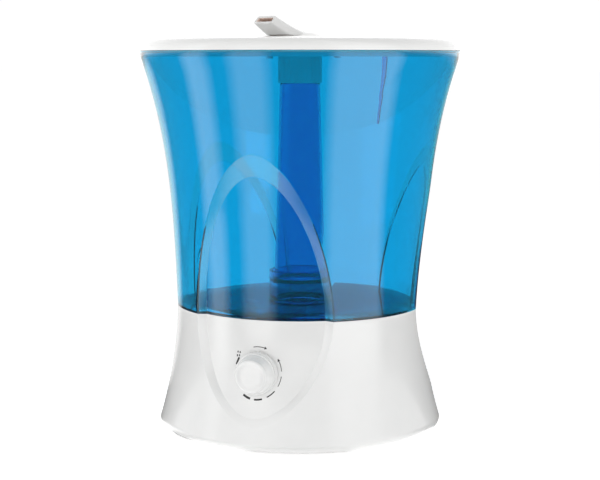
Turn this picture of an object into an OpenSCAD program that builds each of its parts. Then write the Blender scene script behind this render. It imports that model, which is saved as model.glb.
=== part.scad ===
// Cool mist humidifier: a waisted base and a flared water tank share three
// oval panels, with a lid and a turning mist nozzle on top.
// Millimetres, +Z up, origin under the centre of the base on the ground plane.
// The dial is on the -Y side and the cord inlet is on the +Y side.

/* [Body] */
// Radius of the base at its foot
foot_r = 125; // [115:1:150]
// Radius of the waist, where the tank meets the base
waist_r = 109; // [106:1:125]
// Radius of the tank at its rim
rim_r = 139.8; // [130:0.1:170]
// Height of the joint between base and tank
seam_z = 108.5; // [100:0.5:130]
// Height of the tank wall above the joint
tank_h = 222.7; // [180:0.1:280]
// Height of the upright band at the top of the tank
rim_band = 6; // [3:0.5:12]
// Wall of the base
base_wall = 2.6; // [2:0.1:3.2]
// Wall of the tank
tank_wall = 2.4; // [2:0.1:3.2]
// Gap between the base and the ground, which the feet fill
ground_gap = 1.5; // [1:0.1:3]
// Radius of the rounded lower edge of the base
foot_round = 5.5; // [3:0.5:8]

/* [Oval panels] */
// Number of sunken oval panels round the body
panel_count = 3; // [2:1:3]
// Half the width of a panel, straight across
panel_half_w = 60.8; // [50:0.1:66]
// How far a panel reaches above the joint
panel_up = 138; // [90:1:150]
// How far a panel reaches below the joint
panel_down = 86.5; // [60:0.5:90]
// Depth of a panel at the joint
panel_depth = 6; // [3:0.1:7]
// Least depth of a panel, at its top and bottom
panel_edge = 0.9; // [0.5:0.1:1.5]

/* [Tank] */
// Thickness of the tank floor
floor_t = 3; // [2:0.1:4]
// Length of the ring below the floor that centres the tank in the base
spigot_h = 7; // [4:0.5:8]
// Wall of the boss that holds the mist tube
tube_boss_wall = 2.6; // [2:0.1:4]
// Height of that boss above the floor
tube_boss_h = 26; // [20:1:40]
// Height of the stiffening rib on the tank wall
rib_h = 62; // [30:1:90]
// Direction of the stiffening rib
rib_deg = 71; // [66:1:76]

/* [Mist tube] */
// Outer radius of the tube at its foot
tube_foot_r = 22.6; // [20:0.1:28]
// Outer radius of the tube at its top
tube_top_r = 17.1; // [14:0.1:18]
// Wall of the tube
tube_wall = 2; // [1.5:0.1:2.5]
// Length of the upright part at the top of the tube
tube_neck_h = 16; // [12:1:24]

/* [Lid and nozzle] */
// How far the lid stands out beyond the tank rim
lid_over = 0.2; // [0:0.1:3]
// Height of the lid crown above the tank rim
lid_h = 12.2; // [10:0.1:20]
// Wall of the lid
lid_wall = 2.4; // [2:0.1:3]
// Depth of the skirt that centres the lid in the tank
lid_skirt_h = 6; // [4:0.5:10]
// Radius of the turning nozzle where it passes the lid
nozzle_r = 28; // [24:0.5:32]
// Height of the nozzle dome above the lid crown
dome_h = 4.9; // [3:0.1:10]
// Distance from the tube axis to the mouth of the spout
spout_reach = 42.5; // [36:1:52]
// Height of the middle of the mouth above the lid crown
spout_rise = 13.5; // [10:0.5:20]
// Width of the mouth, outside
mouth_w = 22; // [16:0.5:26]
// Height of the mouth, outside
mouth_h = 8.6; // [7:0.1:12]
// How far the mouth leans back from upright
mouth_tilt = 44; // [20:1:60]
// Wall of the nozzle
nozzle_wall = 1.7; // [1.4:0.1:2.2]
// Direction in which the spout points
spout_deg = -116; // [-180:1:180]
// Wall of the collar that sleeves over the mist tube
collar_wall = 1.5; // [1.2:0.1:2.5]
// Length of the collar below its flange
collar_h = 19; // [12:1:24]

/* [Tank cap and valve] */
// Distance from the body axis to the cap axis
cap_dist = 65; // [62:0.5:68]
// Direction of the cap from the body axis
cap_deg = -104; // [-115:1:-65]
// Inner radius of the filling neck
neck_r = 16; // [15:0.1:20]
// Wall of the filling neck
neck_wall = 3; // [2:0.1:3.5]
// Wall of the cap round its lug groove
cap_wall = 2.6; // [1.8:0.1:3]
// Number of grip flutes round the cap
flute_count = 20; // [12:1:30]
// Travel of the valve
valve_travel = 4; // [2:0.5:5]
// Radius of the valve stem
stem_r = 2.5; // [2:0.1:3]
// Turns of the valve spring
spring_turns = 3; // [2:1:4]
// Wire diameter of the valve spring
spring_wire = 0.8; // [0.6:0.1:1]

/* [Basin] */
// Height of the basin floor above the ground
basin_z = 81; // [76:0.5:82]
// Thickness of the basin floor
basin_t = 3; // [2:0.1:4]
// Inner radius of the nebuliser well
well_r = 30; // [28:0.5:34]
// Depth of the well below the basin floor
well_depth = 22.5; // [18:0.5:24]
// Distance from the body axis to the air tower and fan
fan_dist = 64; // [60:1:66]
// Inner radius of the air tower
tower_r = 12.6; // [10:0.1:13]
// Height of the air tower above the basin floor
tower_h = 21; // [16:1:22]

/* [Float] */
// Distance from the body axis to the float
float_dist = 67; // [62:1:74]
// Direction of the float from the body axis
float_deg = 150; // [140:1:160]
// Outer radius of the float
float_r = 13; // [10:0.5:15]
// Height of the float
float_h = 10; // [8:0.5:11]
// Travel of the float
float_travel = 6.5; // [4:0.5:7]
// Radius of the float post
post_r = 4.2; // [3.8:0.1:4.6]

/* [Dial] */
// Height of the dial axis
dial_z = 65; // [62:0.5:65.5]
// Radius of the dial skirt
dial_r = 17.5; // [15:0.5:19]
// Radius of the dial face
dial_face_r = 12.2; // [10:0.1:14]
// Length of the dial from skirt to face
dial_len = 12.4; // [10:0.1:16]
// How far the flat dial seat stands proud of the panel at its lower edge
dial_proud = 0.5; // [0.4:0.1:3]
// Radius of the control shaft
shaft_r = 3; // [2.5:0.1:3.2]

/* [Nebuliser] */
// Radius of the ceramic disc
disc_r = 10; // [8:0.5:11]
// Thickness of the ceramic disc
disc_t = 1.2; // [0.8:0.1:2]
// Outer radius of the rubber seal round the disc
disc_seal_r = 13; // [12.5:0.1:14]

/* [Fan] */
// Side of the square fan frame
fan_w = 50; // [45:1:52]
// Depth of the fan frame
fan_t = 15; // [12:1:16]
// Spacing of the fan mounting holes
fan_pitch = 40; // [38:0.5:41]
// Number of fan blades
blade_count = 7; // [5:1:9]

/* [Electronics] */
// Width of each circuit board
board_w = 56; // [50:1:57]
// Length of each circuit board
board_l = 88; // [80:1:92]
// Distance from the middle plane to the middle of each board
board_x = 54; // [54:1:58]
// Height of the posts that carry the boards
board_post_h = 13; // [10:1:16]

/* [Base cover and feet] */
// Thickness of the bottom cover
cover_t = 3; // [2:0.1:4]
// Distance from the body axis to the cover screws
screw_dist = 106; // [104:0.5:107]
// Distance from the body axis to the feet
foot_dist = 98; // [90:1:100]
// Radius of a foot
foot_pad_r = 9; // [7:0.5:10]
// Height of the cord inlet above the ground
inlet_z = 20; // [18:0.5:22]
// Radius of the bore of the cord gland
inlet_r = 3.4; // [3:0.1:4]

/* [Clearances] */
// Gap between parts that sit on each other and lift apart
seat_gap = 0.3; // [0.3:0.05:0.5]
// Gap round parts that plug into each other and pull apart
plug_gap = 0.5; // [0.3:0.05:0.8]
// Radial gap round a turning shaft
shaft_gap = 0.05; // [0.03:0.01:0.1]
// Gap round parts that slide or turn loosely
loose_gap = 0.4; // [0.3:0.05:0.6]

/* [Hidden] */
$fn = 96;

eps = 0.01;
tank_z0 = seam_z + seat_gap;
tank_top_z = seam_z + tank_h;
flare_top_z = tank_top_z - rim_band;
tank_floor_z = tank_z0 + floor_t;
foot_top_z = ground_gap + foot_round;
lip_z = foot_top_z + 1;
lip_r = foot_r - foot_round - base_wall;
cover_z = ground_gap + 0.5;
cover_top_z = cover_z + cover_t;
panel_step = 360 / panel_count;
panel_waist = 1;
spigot_r = waist_r - panel_depth - base_wall - plug_gap - 0.4;

basin_under_z = basin_z - basin_t;
well_z = basin_z - well_depth;
well_under_z = well_z - basin_t;
tower_top_z = basin_z + tower_h;

lid_r = rim_r + lid_over;
lid_z0 = tank_top_z + seat_gap;
crown_z = tank_top_z + lid_h;
lid_round = 8.5;
lid_shoulder_z = crown_z - 3;
drum_z0 = lid_z0 - lid_skirt_h;
collar_top_z = drum_z0 - seat_gap;
collar_flange_t = 3.2;
collar_under_z = collar_top_z - collar_flange_t;
collar_z0 = collar_under_z - collar_h;
tube_top_z = collar_under_z - 4;
tube_seat_z = tank_floor_z + 15.2;
boss_top_z = tank_floor_z + tube_boss_h;
boss_bore_r = tube_foot_r + 2.1;
boss_r = boss_bore_r + tube_boss_wall;
collar_r = tube_top_r + loose_gap + collar_wall;

cap_x = cap_dist * cos(cap_deg);
cap_y = cap_dist * sin(cap_deg);
cap_plate_t = 3;
cap_z0 = tank_z0 - 16.3;
cap_plate_z = cap_z0 + cap_plate_t;
cap_top_z = tank_z0 - 2.5;
gasket_t = 0.8;
neck_z0 = cap_plate_z + gasket_t + seat_gap;
neck_out_r = neck_r + neck_wall;
lug_out = 1.3;
cap_r = neck_out_r + lug_out + plug_gap + cap_wall;
valve_r = neck_r - 4.5;
lug_z0 = neck_z0 + 2.5;
lug_h = 2;
cap_turn = 60;
valve_port_r = valve_r - 2.5;
hub_r = 5;
seal_t = 1.2;
seal_z0 = cap_plate_z + seat_gap + valve_travel;
button_t = 2;
button_r = 6;
button_z0 = cap_z0 - 8.5;
button_top_z = button_z0 + button_t;
valve_post_top_z = button_z0 - seat_gap;

float_x = float_dist * cos(float_deg);
float_y = float_dist * sin(float_deg);
float_z0 = basin_z + 0.6;
float_top_z = float_z0 + float_h;
retainer_z0 = float_top_z + float_travel + seat_gap;
retainer_t = 1.6;
post_top_z = retainer_z0 + retainer_t;

seal_h = 4;
seal_top_z = well_under_z;
seal_bottom_z = seal_top_z - seal_h;
clamp_ring_h = 4;
clamp_top_z = seal_bottom_z - clamp_ring_h;
clamp_t = 2;
clamp_hole_dist = disc_seal_r + 8;
clamp_r = clamp_hole_dist + 4;

fan_z0 = 42;
fan_top_z = fan_z0 + fan_t;
rotor_r = fan_w / 2 - 3;
rotor_hub_r = 9;
fan_pin_r = 1.2;
duct_flange_t = 2;
duct_r = tower_r + 2.4;

board_z0 = cover_top_z + board_post_h;
board_t = 1.6;
board_top_z = board_z0 + board_t;

dial_foot_z = dial_z - dial_r;
dial_seat_y = base_r(dial_foot_z) - panel_d(dial_foot_z) + dial_proud;
dial_back_y = dial_seat_y + seat_gap;
dial_face_y = dial_back_y + dial_len;
pot_depth = 9;
pot_r = 11.5;
pot_top_z = dial_z + pot_r;
pot_front_y = min(dial_seat_y - 10, base_r(pot_top_z) - panel_d(pot_top_z) - base_wall - 0.5);
pot_bush_r = shaft_r + shaft_gap + 1.2;
nut_seat_y = dial_seat_y - 6;
gland_r = inlet_r + 1.8;
gland_lip = 2.6;
inlet_face_y = base_r(inlet_z - gland_r - gland_lip) + 0.3;
inlet_len = max(9, inlet_face_y - base_r(inlet_z + gland_r + gland_lip) + base_wall + 0.5);

screw_r = 1.5;
screw_head_r = 2.9;
screw_head_h = 2;
cover_post_r = 4.5;
cover_post_top_z = 42;
screw_degs = [-30, -150, 70, 110];
collar_lug_dist = nozzle_r + 6.5;
root_x0 = 4;
root_x1 = nozzle_r + 2;
root_w = nozzle_r + 1.4;
root_z0 = crown_z + 0.5;
root_z1 = crown_z + 4.9;
throat_x1 = nozzle_r - 10;
throat_z0 = crown_z - 1.4;

// Radius of the tank wall at height z: nearly upright at the waist, then flaring.
function tank_r(z) =
  let (t = (z - seam_z) / (flare_top_z - seam_z))
  t >= 1 ? rim_r : waist_r + (rim_r - waist_r) * (0.27 * t + 0.73 * pow(t, 3.15));
// Radius of the base wall at height z, which spreads towards the foot.
function base_r(z) =
  let (u = (seam_z - z) / (seam_z - foot_top_z))
  waist_r + (foot_r - waist_r) * (0.15 * u + 0.85 * pow(u, 2.05));
// Depth of an oval panel at height z.
function panel_d(z) =
  let (v = z > seam_z ? (z - seam_z) / panel_up : (seam_z - z) / panel_down)
  max(panel_edge, panel_depth * (1 - pow(min(1, v), z > seam_z ? 1.25 : 2.8)));
// Evenly spaced heights from a to b.
function steps(a, b, n) = [for (i = [0:n]) a + (b - a) * i / n];
// Points on a circular arc.
function arc(cx, cy, r, a0, a1, n) =
  [for (i = [0:n]) let (a = a0 + (a1 - a0) * i / n) [cx + r * cos(a), cy + r * sin(a)]];
function tank_line(inset, sink) =
  concat(
    [for (z = steps(tank_z0, flare_top_z, 14)) [tank_r(z) - inset - sink * panel_d(z), z]],
    [[rim_r - inset - sink * panel_edge, tank_top_z + 2]]);
function base_line(z0, inset, sink) =
  concat(
    [for (z = steps(z0, seam_z, 10)) [base_r(z) - inset - sink * panel_d(z), z]],
    [[waist_r - inset - sink * panel_depth, seam_z + 3]]);

// Solid of revolution from the axis out to a line of [radius, height] points.
module turned(line) {
  rotate_extrude()
    polygon(concat([[0, line[0][1]]], line, [[0, line[len(line) - 1][1]]]));
}
// Half of a panel's outline, above the joint (side 1) or below it (side -1),
// grown by g and extruded out of the body towards -Y. Its edges run upright
// for panel_waist where they cross the joint.
module panel_prism(side, g) {
  power = 2 / 1.85;
  reach = (side > 0 ? panel_up : panel_down) - panel_waist;
  outline = concat(
    [
      for (i = [0:24])
        let (a = i * 7.5)
        [
          (panel_half_w + g) * sign(cos(a)) * pow(abs(cos(a)), power),
          seam_z + side * (panel_waist + (reach + g) * pow(sin(a), power)),
        ]
    ],
    [for (sx = [-1, 1]) [sx * (panel_half_w + g), seam_z - side * 5]]);
  rotate([90, 0, 0])
    translate([0, 0, 40])
      linear_extrude(130)
        polygon(outline);
}
// What the panels take away from a body whose panel faces follow line.
module panel_cuts(line, side, g) {
  for (i = [0:panel_count - 1])
    rotate(i * panel_step)
      difference() {
        panel_prism(side, g);
        turned(line);
      }
}
// Base form above height z0, set in by g from the outside, with the panels sunk into it.
module base_form(g, z0) {
  difference() {
    turned(base_line(z0, g, 0));
    panel_cuts(base_line(z0, g, 1), -1, g);
  }
}
module tank_form(g, z1) {
  difference() {
    intersection() {
      turned(tank_line(g, 0));
      cylinder(r = rim_r + 10, h = z1);
    }
    panel_cuts(concat([[waist_r - g - panel_depth, tank_z0 - 6]], tank_line(g, 1)), 1, g);
  }
}
// Hollow cylinder from z0 to z1.
module ring(r_out, r_in, z0, z1) {
  translate([0, 0, z0])
    difference() {
      cylinder(r = r_out, h = z1 - z0);
      translate([0, 0, -1])
        cylinder(r = r_in, h = z1 - z0 + 2);
    }
}
module rod(r, z0, z1) {
  translate([0, 0, z0])
    cylinder(r = r, h = z1 - z0);
}
// Cylinder along -Y, from distance y0 to y1 in front of the axis, at height z.
module front_rod(r, y0, y1, z) {
  translate([0, -y0, z])
    rotate([90, 0, 0])
      cylinder(r = r, h = y1 - y0);
}
module block(size, at) {
  translate(at - size / 2)
    cube(size);
}
// Copies of a child on a circle, one for each direction in degs.
module around(dist, degs) {
  for (a = degs)
    rotate(a)
      translate([dist, 0, 0])
        children();
}
// Pan-head screw with its head at the bottom, under height z, and a cross slot.
module screw(z, shank, r = screw_r) {
  difference() {
    union() {
      rod(screw_head_r * r / screw_r, z - screw_head_h, z);
      rod(r, z - eps, z + shank);
    }
    for (a = [0, 90])
      rotate(a)
        block([2.4 * r, 0.7, 1.6], [0, 0, z - screw_head_h]);
  }
}
module at_cap() {
  translate([cap_x, cap_y, 0])
    children();
}
module at_fan() {
  translate([0, fan_dist, 0])
    children();
}
module at_float() {
  translate([float_x, float_y, 0])
    children();
}
module at_fan_holes() {
  at_fan()
    for (sx = [-1, 1], sy = [-1, 1])
      translate([sx * fan_pitch / 2, sy * fan_pitch / 2, 0])
        children();
}
module at_board_holes() {
  for (side = [-1, 1], sx = [-1, 1], sy = [-1, 1])
    translate([side * board_x + sx * (board_w / 2 - 4), sy * (board_l / 2 - 4), 0])
      children();
}

// ---- Base ----
module base_shell() {
  difference() {
    union() {
      base_form(0, foot_top_z);
      rotate_extrude()
        polygon(concat(
          [[0, ground_gap]],
          arc(foot_r - foot_round, foot_top_z, foot_round, -90, 0, 8),
          [[0, foot_top_z]]));
    }
    base_form(base_wall, lip_z);
    rod(lip_r, 0, lip_z + eps);
    rod(foot_r + 10, seam_z, seam_z + 9);
  }
}
// Floor, ribs and pads that end inside the outer wall.
module base_fittings() {
  intersection() {
    base_form(base_wall / 2, lip_z);
    union() {
      rod(foot_r, basin_under_z, basin_z);
      around(screw_dist, screw_degs)
        block([40, 3, cover_post_top_z - lip_z], [20, 0, (cover_post_top_z + lip_z) / 2]);
    }
  }
}
module base_housing() {
  color("whitesmoke")
    difference() {
      union() {
        base_shell();
        base_fittings();
        around(screw_dist, screw_degs)
          rod(cover_post_r, cover_top_z, cover_post_top_z);
        rod(well_r + 2.5, well_under_z, basin_z);
        ring(disc_seal_r + 2, disc_seal_r, seal_bottom_z, seal_top_z + eps);
        around(clamp_hole_dist, [30, 150, 270])
          rod(3.6, clamp_top_z, seal_top_z + eps);
        at_fan()
          rod(duct_r, basin_under_z - 5, tower_top_z);
        at_cap()
          rod(5, basin_z - 1, valve_post_top_z);
        at_float()
          rod(post_r, basin_z - 1, post_top_z);
        front_rod(dial_r + 0.4, pot_front_y, dial_seat_y, dial_z);
        translate([0, inlet_face_y, inlet_z])
          rotate([90, 0, 0])
            cylinder(r = gland_r + gland_lip + 2, h = inlet_len);
      }
      rod(well_r, well_z, basin_z + 1);
      rod(disc_r - 1.2, well_under_z - 1, well_z + 1);
      at_fan()
        rod(tower_r, basin_under_z - 6, tower_top_z + 1);
      at_float()
        rod(1.8, basin_under_z - 1, post_top_z - 2);
      around(screw_dist, screw_degs)
        rod(screw_r, cover_z, cover_top_z + 12);
      around(clamp_hole_dist, [30, 150, 270])
        rod(screw_r, clamp_top_z - 1, seal_top_z - 1.5);
      front_rod(9.5, nut_seat_y, dial_seat_y + 1, dial_z);
      front_rod(pot_bush_r, pot_front_y - 1, nut_seat_y + 1, dial_z);
      translate([0, inlet_face_y + 1, inlet_z])
        rotate([90, 0, 0])
          cylinder(r = gland_r, h = inlet_len + 2);
    }
}
module bottom_cover() {
  color("whitesmoke")
    difference() {
      union() {
        rod(lip_r - 0.3, cover_z, cover_top_z);
        at_board_holes()
          rod(3.6, cover_z, board_z0);
        at_fan_holes()
          rod(4, cover_z, fan_z0);
      }
      around(screw_dist, screw_degs) {
        rod(screw_r, cover_z - 1, cover_top_z + 1);
        rod(screw_head_r + 0.3, cover_z - 1, cover_z + 0.6);
      }
      around(foot_dist, [45:90:315])
        rod(3.5, cover_z - 1, cover_top_z + 1);
      at_board_holes()
        rod(screw_r, cover_top_z + 2, board_z0 + 1);
      at_fan_holes()
        rod(screw_r, cover_top_z + 4, fan_z0 + 1);
      at_fan()
        for (i = [-3:3])
          block([2 * sqrt(pow(fan_w / 2 - 4, 2) - pow(i * 6, 2)), 3, 3 * cover_t],
                [0, i * 6, cover_z + cover_t / 2]);
    }
}
module rubber_feet() {
  color("dimgray")
    around(foot_dist, [45:90:315]) {
      difference() {
        rod(foot_pad_r, 0, cover_z);
        rod(foot_pad_r - 4.5, -1, 0.5);
      }
      rod(3.5, cover_z - eps, cover_top_z);
      rod(4.6, cover_top_z, cover_top_z + 1.5);
    }
}
module cover_screws() {
  color("silver")
    around(screw_dist, screw_degs)
      screw(cover_z + 0.6, 13.5);
}
module cord_gland() {
  color("dimgray")
    translate([0, inlet_face_y, inlet_z])
      rotate([90, 0, 0])
        difference() {
          union() {
            translate([0, 0, -2])
              cylinder(r = gland_r + gland_lip, h = 2);
            translate([0, 0, -eps])
              cylinder(r = gland_r, h = inlet_len + 2 * eps);
            translate([0, 0, inlet_len])
              cylinder(r1 = gland_r + 1.6, r2 = gland_r + 0.4, h = 3);
          }
          translate([0, 0, -3])
            cylinder(r = inlet_r, h = inlet_len + 8);
        }
}

// ---- Electronics ----
module board(side) {
  difference() {
    block([board_w, board_l, board_t], [side * board_x, 0, board_z0 + board_t / 2]);
    at_board_holes()
      rod(screw_r, board_z0 - 1, board_top_z + 1);
  }
}
module power_board() {
  color("darkgreen")
    board(-1);
}
module control_board() {
  color("darkgreen")
    board(1);
}
module power_parts() {
  translate([-board_x, 0, board_top_z]) {
    color("khaki")
      block([26, 30, 18], [0, 8, 9]);
    color("dimgray")
      block([32, 20, 22], [0, 8, 11]);
    color("black")
      for (x = [-14, 6])
        translate([x, -18, 0])
          cylinder(r = 6, h = 20);
    color("forestgreen")
      block([22, 9, 12], [0, 36, 6]);
    color("goldenrod")
      block([14, 6, 11], [-6, -34, 5.5]);
  }
}
module control_parts() {
  translate([board_x, 0, board_top_z]) {
    color("white")
      for (y = [-32, -20, 34])
        block([16, 7, 9], [-6, y, 4.5]);
    color("black")
      block([10, 26, 3], [-6, 0, 1.5]);
    color("navy")
      for (y = [-8, 8])
        translate([-20, y, 0])
          cylinder(r = 4, h = 12);
    color("orange")
      translate([-4, 22, 0])
        cylinder(r = 5.5, h = 9);
    color("black")
      block([4.6, 16, 20], [7.5, 0, 10]);
  }
}
module heat_sink() {
  color("silver")
    translate([board_x, 0, board_top_z]) {
      block([3, 44, 28], [11.3, 0, 14]);
      for (i = [-4:4])
        block([9, 1.6, 28], [17, i * 5, 14]);
    }
}
module board_screws() {
  color("silver")
    at_board_holes()
      translate([0, 0, board_top_z])
        rotate([180, 0, 0])
          screw(0, 9);
}

// ---- Nebuliser ----
module nebuliser_disc() {
  color("silver")
    rod(disc_r, seal_bottom_z + 1.4, seal_bottom_z + 1.4 + disc_t);
}
module nebuliser_seal() {
  color("dimgray")
    difference() {
      rod(disc_seal_r, seal_bottom_z, seal_top_z);
      rod(disc_r - 1.6, seal_bottom_z - 1, seal_top_z + 1);
      rod(disc_r, seal_bottom_z + 1.4, seal_bottom_z + 1.4 + disc_t);
    }
}
module nebuliser_clamp() {
  color("silver")
    difference() {
      union() {
        rod(clamp_r, clamp_top_z - clamp_t, clamp_top_z);
        rod(disc_seal_r, clamp_top_z - eps, seal_bottom_z);
      }
      rod(disc_r - 3, clamp_top_z - clamp_t - 1, seal_bottom_z + 1);
      around(clamp_hole_dist, [30, 150, 270])
        rod(screw_r, clamp_top_z - clamp_t - 1, clamp_top_z + 1);
    }
}
module clamp_screws() {
  color("silver")
    around(clamp_hole_dist, [30, 150, 270])
      screw(clamp_top_z - clamp_t, clamp_t + 5.5);
}

// ---- Fan and air path ----
module fan_frame() {
  color("dimgray")
    difference() {
      union() {
        difference() {
          at_fan()
            block([fan_w, fan_w, fan_t], [0, 0, fan_z0 + fan_t / 2]);
          at_fan()
            rod(rotor_r + 1, fan_z0 - 1, fan_top_z + 1);
        }
        at_fan() {
          rod(rotor_hub_r, fan_z0, fan_z0 + 2.5);
          for (a = [0:90:270])
            rotate(a + 45)
              block([rotor_r + 1.5, 3, 2.5], [(rotor_r + 1.5) / 2, 0, fan_z0 + 1.25]);
          rod(fan_pin_r, fan_z0 + 1, fan_z0 + fan_t - 4);
        }
      }
      at_fan_holes()
        rod(screw_r, fan_z0 - 1, fan_top_z + 1);
    }
}
module fan_rotor() {
  color("black")
    at_fan()
      difference() {
        union() {
          rod(rotor_hub_r, fan_z0 + 3.2, fan_top_z - 1.5);
          for (i = [0:blade_count - 1])
            rotate(i * 360 / blade_count)
              translate([rotor_hub_r - 1.5, 0, fan_z0 + 3.4 + (fan_t - 5.4) / 2])
                rotate([38, 0, 0])
                  translate([0, -6, -0.6])
                    cube([rotor_r - rotor_hub_r + 1, 12, 1.2]);
        }
        rod(fan_pin_r + shaft_gap, fan_z0, fan_z0 + fan_t - 3.8);
      }
}
module fan_screws() {
  color("silver")
    at_fan_holes()
      translate([0, 0, fan_top_z + duct_flange_t])
        rotate([180, 0, 0])
          screw(0, fan_t + duct_flange_t + 12);
}
module air_duct() {
  color("whitesmoke")
    difference() {
      at_fan()
        union() {
          block([fan_w, fan_w, duct_flange_t], [0, 0, fan_top_z + duct_flange_t / 2]);
          rod(rotor_r + 1, fan_top_z + 1, fan_top_z + 4);
          translate([0, 0, fan_top_z + 4 - eps])
            cylinder(r1 = rotor_r + 1, r2 = duct_r + 2, h = 7);
          rod(duct_r + 2, fan_top_z + 10, basin_under_z - 0.5);
        }
      at_fan() {
        rod(rotor_r - 1, fan_top_z - 1, fan_top_z + 4);
        translate([0, 0, fan_top_z + 4 - 2 * eps])
          cylinder(r1 = rotor_r - 1, r2 = duct_r, h = 7);
        rod(duct_r, fan_top_z + 10, basin_z);
      }
      at_fan_holes()
        rod(screw_r, fan_top_z - 1, fan_top_z + duct_flange_t + 1);
      at_fan_holes()
        rod(screw_head_r + 0.3, fan_top_z + duct_flange_t, fan_top_z + 12);
    }
}

// ---- Float ----
module float_ring() {
  color("gold")
    at_float()
      difference() {
        ring(float_r, post_r + loose_gap, float_z0, float_top_z);
        ring(8, 5.4, float_z0 + 3, float_z0 + 7);
      }
}
module float_magnet() {
  color("dimgray")
    at_float()
      ring(8, 5.4, float_z0 + 3, float_z0 + 7);
}
module float_retainer() {
  color("whitesmoke")
    at_float()
      ring(7.5, post_r, retainer_z0, post_top_z);
}
module reed_switch() {
  color("lightgreen")
    at_float() {
      rod(1.4, basin_under_z - 2, float_z0 + 12);
      rod(0.4, basin_under_z - 9, basin_under_z - 2 + eps);
    }
}

// ---- Dial ----
module dial_knob() {
  color("whitesmoke")
    translate([0, 0, dial_z])
      rotate([90, 0, 0])
        difference() {
          rotate_extrude()
            polygon(concat(
              [[0, dial_back_y], [dial_r, dial_back_y], [dial_r, dial_back_y + 1.6]],
              [for (i = [0:8])
                let (s = i / 8)
                [dial_r - 1.2 - 2.3 * pow(s, 1.6), dial_back_y + 2.4 + (dial_len - 5.4) * s]],
              arc(dial_face_r, dial_face_y - 1.8, 1.8, 0, 90, 5),
              [[dial_face_r - 1.6, dial_face_y - 0.7], [0, dial_face_y - 0.7]]));
          translate([0, 0, dial_back_y - 1])
            cylinder(r = 11, h = 4);
          cylinder(r = shaft_r, h = dial_face_y - 3);
        }
}
module control_shaft() {
  color("silver")
    front_rod(shaft_r, pot_front_y - 4, dial_face_y - 3, dial_z);
}
module dial_control() {
  color("dimgray")
    difference() {
      union() {
        front_rod(pot_r, pot_front_y - pot_depth, pot_front_y, dial_z);
        front_rod(pot_bush_r, pot_front_y - eps, nut_seat_y + 4, dial_z);
        block([9, 2, 10], [0, 2 - pot_front_y + 3, dial_z - pot_r - 3]);
      }
      front_rod(shaft_r + shaft_gap, pot_front_y - 4.2, nut_seat_y + 5, dial_z);
    }
}
module control_nut() {
  color("silver")
    difference() {
      union() {
        front_rod(7.5, nut_seat_y, nut_seat_y + 0.8, dial_z);
        translate([0, -nut_seat_y - 0.8, dial_z])
          rotate([90, 0, 0])
            cylinder(r = 6.2, h = 2.4, $fn = 6);
      }
      front_rod(pot_bush_r, nut_seat_y - 1, nut_seat_y + 5, dial_z);
    }
}

// ---- Tank ----
module tank_shell() {
  color("deepskyblue", 0.55)
    difference() {
      union() {
        difference() {
          tank_form(0, tank_top_z);
          difference() {
            tank_form(tank_wall, tank_top_z + 1);
            rod(rim_r, 0, tank_floor_z);
          }
        }
        rod(boss_r, tank_z0, boss_top_z);
        ring(spigot_r, spigot_r - 2.2, tank_z0 - spigot_h, tank_z0 + eps);
        intersection() {
          tank_form(tank_wall / 2, tank_top_z - lid_skirt_h - 1);
          rotate(rib_deg)
            translate([tank_r(flare_top_z) - 2, 0, flare_top_z - rib_h / 2])
              rotate([0, 17, 0])
                cube([15, 1.6, rib_h], center = true);
        }
      }
      rod(tube_foot_r - 1.8, tank_z0 - 1, tube_seat_z + 1);
      rod(boss_bore_r, tube_seat_z, boss_top_z + 1);
      at_cap()
        rod(neck_r, 0, tank_floor_z + 1);
    }
}
// Filling neck under the tank floor, with two lugs for the cap.
module tank_neck() {
  color("deepskyblue", 0.55)
    at_cap()
      difference() {
        union() {
          rod(neck_out_r, neck_z0, tank_z0);
          around(neck_out_r, [0, 180])
            intersection() {
              block([2 * lug_out, 8, lug_h], [0, 0, lug_z0 + lug_h / 2]);
              translate([-neck_out_r, 0, 0])
                rod(neck_out_r + lug_out, 0, seam_z);
            }
        }
        rod(neck_r, 0, seam_z + floor_t);
      }
}
// Radius of the mist tube at share s of the way up its tapered length.
function tube_r(s) = tube_foot_r + (tube_top_r + 0.7 - tube_foot_r) * pow(s, 0.85);
module mist_tube() {
  z0 = tube_seat_z + 0.2;
  z1 = tube_top_z - tube_neck_h;
  zb = boss_top_z;
  outside = concat(
    [[tube_foot_r, z0]],
    [for (s = steps(0, 1, 6)) [tube_r(s), zb + (z1 - zb) * s]],
    [[tube_top_r, z1 + 1], [tube_top_r, tube_top_z]]);
  inside = [for (i = [len(outside) - 1:-1:0]) [outside[i][0] - tube_wall, outside[i][1]]];
  color("royalblue", 0.7)
    rotate_extrude()
      polygon(concat(outside, inside));
}
module tube_seal() {
  color("midnightblue")
    ring(boss_bore_r, tube_foot_r, tube_seat_z + 1, tube_seat_z + 4);
}
module tank_cap() {
  color("azure")
    at_cap()
      difference() {
        rod(cap_r, cap_z0, cap_top_z);
        rod(neck_out_r + plug_gap, cap_plate_z, cap_top_z + 1);
        rod(neck_out_r + lug_out + plug_gap, lug_z0 - plug_gap, lug_z0 + lug_h + plug_gap);
        rotate(cap_turn)
          around(neck_out_r, [0, 180])
            block([2 * (lug_out + plug_gap), 9.5, 20], [0, 0, lug_z0 + 10]);
        difference() {
          rod(valve_port_r, cap_z0 - 1, cap_plate_z + 1);
          rod(hub_r, cap_z0 - 2, cap_plate_z + 2);
          for (a = [0, 120, 240])
            rotate(a)
              block([valve_port_r + 1, 2.4, 3 * cap_plate_t],
                    [(valve_port_r + 1) / 2, 0, cap_z0 + cap_plate_t / 2]);
        }
        rod(stem_r + shaft_gap, cap_z0 - 1, cap_plate_z + 1);
        around(cap_r + 1.6, [0:360 / flute_count:359])
          rod(2, cap_z0 + 3, cap_top_z + 1);
      }
}
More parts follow.
